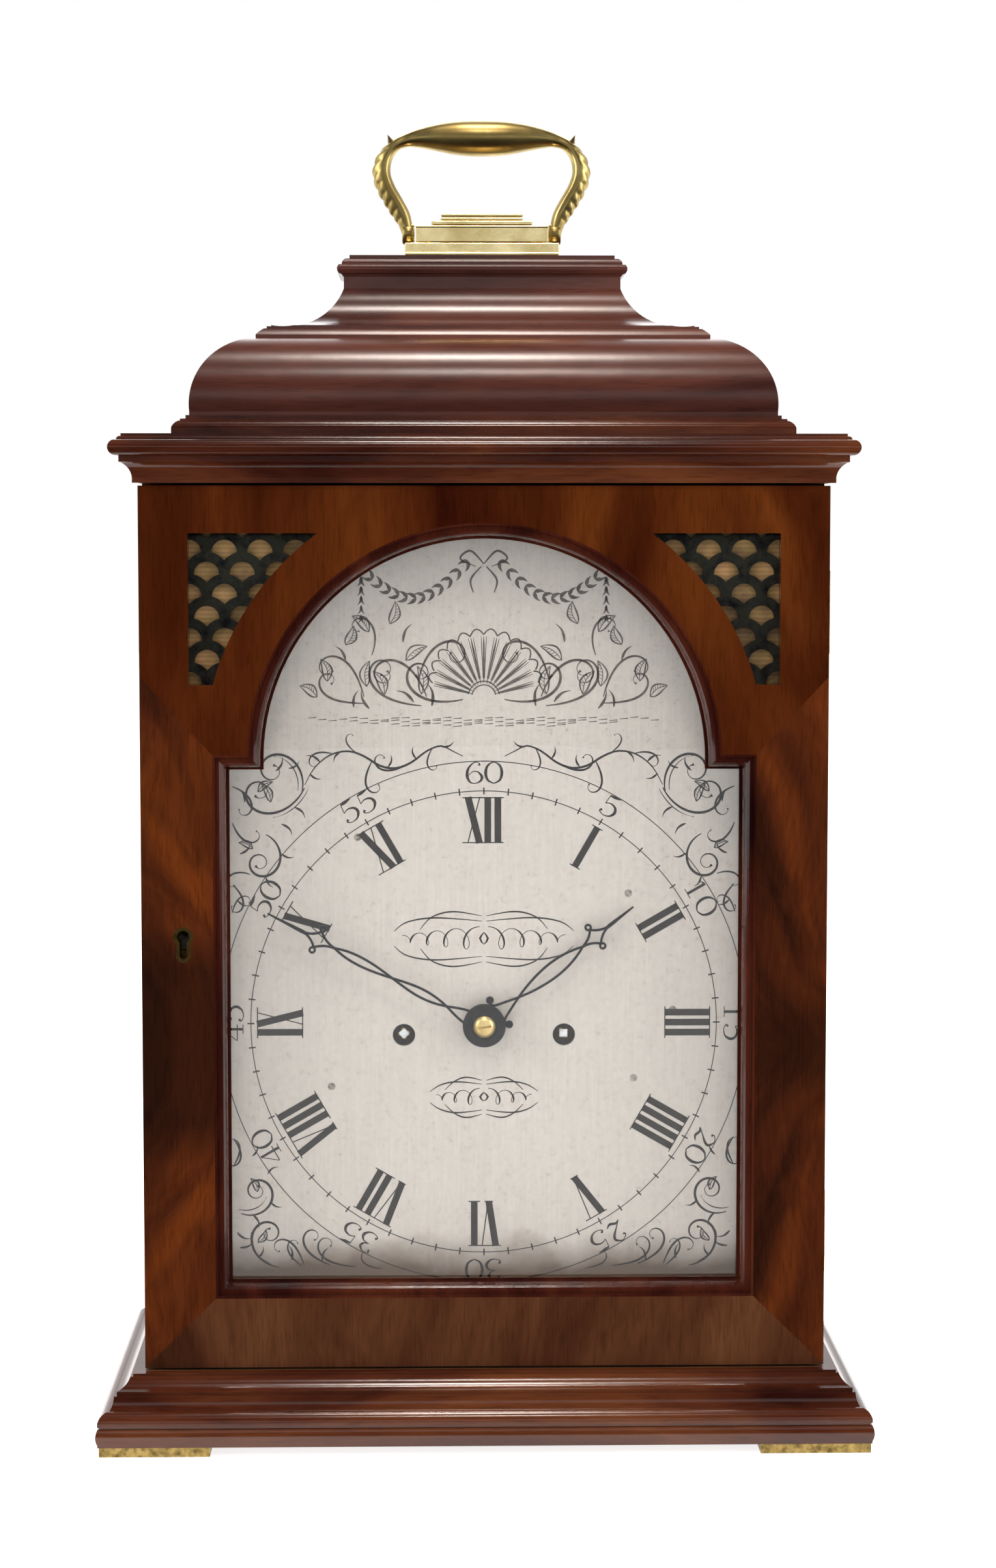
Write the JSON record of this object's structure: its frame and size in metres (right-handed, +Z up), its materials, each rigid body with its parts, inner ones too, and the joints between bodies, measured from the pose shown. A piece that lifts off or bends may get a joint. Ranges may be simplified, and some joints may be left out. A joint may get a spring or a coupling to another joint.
{
  "type": "bracket clock",
  "caption": "Bell-top mahogany bracket clock with a break-arch silvered dial, glazed doors, carrying handle and pendulum movement.",
  "frame": {"origin": "centre of the clock's footprint, on the surface that its feet stand on", "axes": "+Z up, -Y out of the dial, +X to the right as the dial is read"},
  "size_m": [0.2952, 0.165, 0.5109],
  "materials": {
    "mahogany": "french polished flame veneer",
    "dark_mahogany": "french polished, dark red-brown",
    "carcass_oak": "planed, unpolished",
    "black_mask": "blackened wood",
    "cast_brass": "cast, finished and lacquered",
    "lock_steel": "filed steel",
    "old_brass": "dulled brass",
    "fret_brass": "dark green-grey patina",
    "silk": "faded gold silk",
    "glass": "clear sheet",
    "silvered_brass": "silvered, engraved and waxed",
    "blued_steel": "blued",
    "movement_brass": "polished",
    "movement_steel": "polished",
    "bell_metal": "turned bell metal",
    "gut": "twisted gut line"
  },
  "bodies": {
    "case": {"brass_feet": "cast_brass", "base_board": "mahogany", "base_moulding": "dark_mahogany", "side_left": "mahogany", "side_right": "mahogany", "case_rails": "mahogany", "top_board": "mahogany", "cornice": "dark_mahogany", "bell_lower": "dark_mahogany", "bell_mid_step": "dark_mahogany", "bell_upper": "dark_mahogany", "bell_cap": "dark_mahogany", "handle_plate": "cast_brass", "side_frets": "fret_brass", "side_silks": "silk", "front_hinge_case_leaves": "cast_brass", "front_lock_staple": "lock_steel", "back_hinge_case_leaves": "cast_brass", "dial_mask": "black_mask", "dial_plate": "silvered_brass", "dial_feet": "old_brass", "front_plate": "movement_brass", "back_plate": "movement_brass", "pillars_and_bolts": "movement_brass", "seat_board": "carcass_oak", "back_cock": "movement_brass", "strike_bell": "bell_metal", "gut_lines": "gut"},
    "handle": {"handle_bail": "cast_brass"},
    "front_door": {"door_stile_left": "mahogany", "door_stile_right": "mahogany", "door_bottom_rail": "mahogany", "door_head": "mahogany", "sight_moulding": "dark_mahogany", "door_glass": "glass", "spandrel_frets": "fret_brass", "spandrel_silks": "silk", "keyhole_escutcheon": "old_brass", "front_lock": "cast_brass", "front_hinge_door_leaves": "cast_brass"},
    "front_lock_bolt": {"front_lock_bolt": "lock_steel"},
    "back_door": {"back_door_frame": "mahogany", "back_door_glass": "glass", "back_hinge_door_leaves": "cast_brass"},
    "back_catch": {"back_door_catch": "cast_brass"},
    "minute_hand": {"cannon_pinion": "movement_brass", "minute_hand": "blued_steel"},
    "hour_hand": {"hour_wheel": "movement_brass", "hour_hand": "blued_steel"},
    "minute_wheel": {"minute_wheel": "movement_brass"},
    "escape_wheel": {"escape_wheel": "movement_brass"},
    "third_wheel": {"third_wheel": "movement_brass"},
    "centre_wheel": {"centre_wheel": "movement_brass"},
    "going_fusee": {"going_fusee": "movement_brass"},
    "going_barrel": {"going_barrel": "movement_brass"},
    "strike_fusee": {"strike_fusee": "movement_brass"},
    "strike_barrel": {"strike_barrel": "movement_brass"},
    "pendulum": {"pendulum": "movement_brass"},
    "pallets": {"pallets": "movement_steel"},
    "strike_hammer": {"strike_hammer": "movement_steel"}
  },
  "joints": [
    {"name": "handle_swing", "type": "hinge", "parent": "case", "child": "handle", "pos_m": [0, 0.0078, 0.4662], "axis": [1, 0, 0], "range_deg": [-80, 80]},
    {"name": "front_door_hinge", "type": "hinge", "parent": "case", "child": "front_door", "pos_m": [0.1313, -0.0466, 0.198], "axis": [0, 0, 1], "range_deg": [0, 110]},
    {"name": "front_lock_bolt_slide", "type": "slide", "parent": "front_door", "child": "front_lock_bolt", "axis": [-1, 0, 0], "range_m": [0, 0.0055]},
    {"name": "back_door_hinge", "type": "hinge", "parent": "case", "child": "back_door", "pos_m": [0.1176, 0.0805, 0.201], "axis": [0, 0, -1], "range_deg": [0, 110]},
    {"name": "back_catch_turn", "type": "hinge", "parent": "case", "child": "back_catch", "pos_m": [-0.124, 0.0815, 0.2013], "axis": [0, -1, 0], "range_deg": [0, 90]},
    {"name": "minute_hand_turn", "type": "hinge", "parent": "case", "child": "minute_hand", "pos_m": [0, -0.04, 0.1593], "axis": [0, 1, 0], "continuous": true},
    {"name": "minute_wheel_turn", "type": "hinge", "parent": "case", "child": "minute_wheel", "pos_m": [-0.012, -0.03, 0.14086], "axis": [0, 1, 0], "continuous": true},
    {"name": "hour_hand_turn", "type": "hinge", "parent": "case", "child": "hour_hand", "pos_m": [0, -0.04, 0.1593], "axis": [0, 1, 0], "continuous": true},
    {"name": "escape_wheel_turn", "type": "hinge", "parent": "case", "child": "escape_wheel", "pos_m": [0, 0.005, 0.20765], "axis": [0, 1, 0], "continuous": true},
    {"name": "third_wheel_turn", "type": "hinge", "parent": "case", "child": "third_wheel", "pos_m": [0.008, 0.005, 0.18635], "axis": [0, 1, 0], "continuous": true},
    {"name": "centre_wheel_turn", "type": "hinge", "parent": "case", "child": "centre_wheel", "pos_m": [0, 0.005, 0.1593], "axis": [0, 1, 0], "continuous": true},
    {"name": "going_fusee_turn", "type": "hinge", "parent": "case", "child": "going_fusee", "pos_m": [0.031, 0.005, 0.1546], "axis": [0, 1, 0], "continuous": true},
    {"name": "going_barrel_turn", "type": "hinge", "parent": "case", "child": "going_barrel", "pos_m": [0.036, 0.005, 0.1133], "axis": [0, 1, 0], "continuous": true},
    {"name": "strike_fusee_turn", "type": "hinge", "parent": "case", "child": "strike_fusee", "pos_m": [-0.031, 0.005, 0.1546], "axis": [0, 1, 0], "continuous": true},
    {"name": "strike_barrel_turn", "type": "hinge", "parent": "case", "child": "strike_barrel", "pos_m": [-0.036, 0.005, 0.1133], "axis": [0, 1, 0], "continuous": true},
    {"name": "pendulum_swing", "type": "hinge", "parent": "case", "child": "pendulum", "pos_m": [0, 0.0571, 0.2373], "axis": [0, 1, 0], "range_deg": [-4, 4]},
    {"name": "pallets_rock", "type": "hinge", "parent": "case", "child": "pallets", "pos_m": [0, 0.01, 0.2373], "axis": [0, 1, 0], "range_deg": [-4, 4]},
    {"name": "strike_hammer_lift", "type": "hinge", "parent": "case", "child": "strike_hammer", "pos_m": [-0.046, 0.005, 0.2293], "axis": [0, 1, 0], "range_deg": [-12, 0]}
  ],
  "couplings": [
    {"joint": "minute_wheel_turn", "follows": "minute_hand_turn", "ratio": -1},
    {"joint": "hour_hand_turn", "follows": "minute_hand_turn", "ratio": 0.083333},
    {"joint": "third_wheel_turn", "follows": "escape_wheel_turn", "ratio": -0.083333},
    {"joint": "centre_wheel_turn", "follows": "escape_wheel_turn", "ratio": 0.0069444},
    {"joint": "going_fusee_turn", "follows": "escape_wheel_turn", "ratio": -0.0005787},
    {"joint": "going_barrel_turn", "follows": "escape_wheel_turn", "ratio": -0.00037512},
    {"joint": "strike_barrel_turn", "follows": "strike_fusee_turn", "ratio": 0.6482},
    {"joint": "pallets_rock", "follows": "pendulum_swing", "ratio": 1}
  ]
}
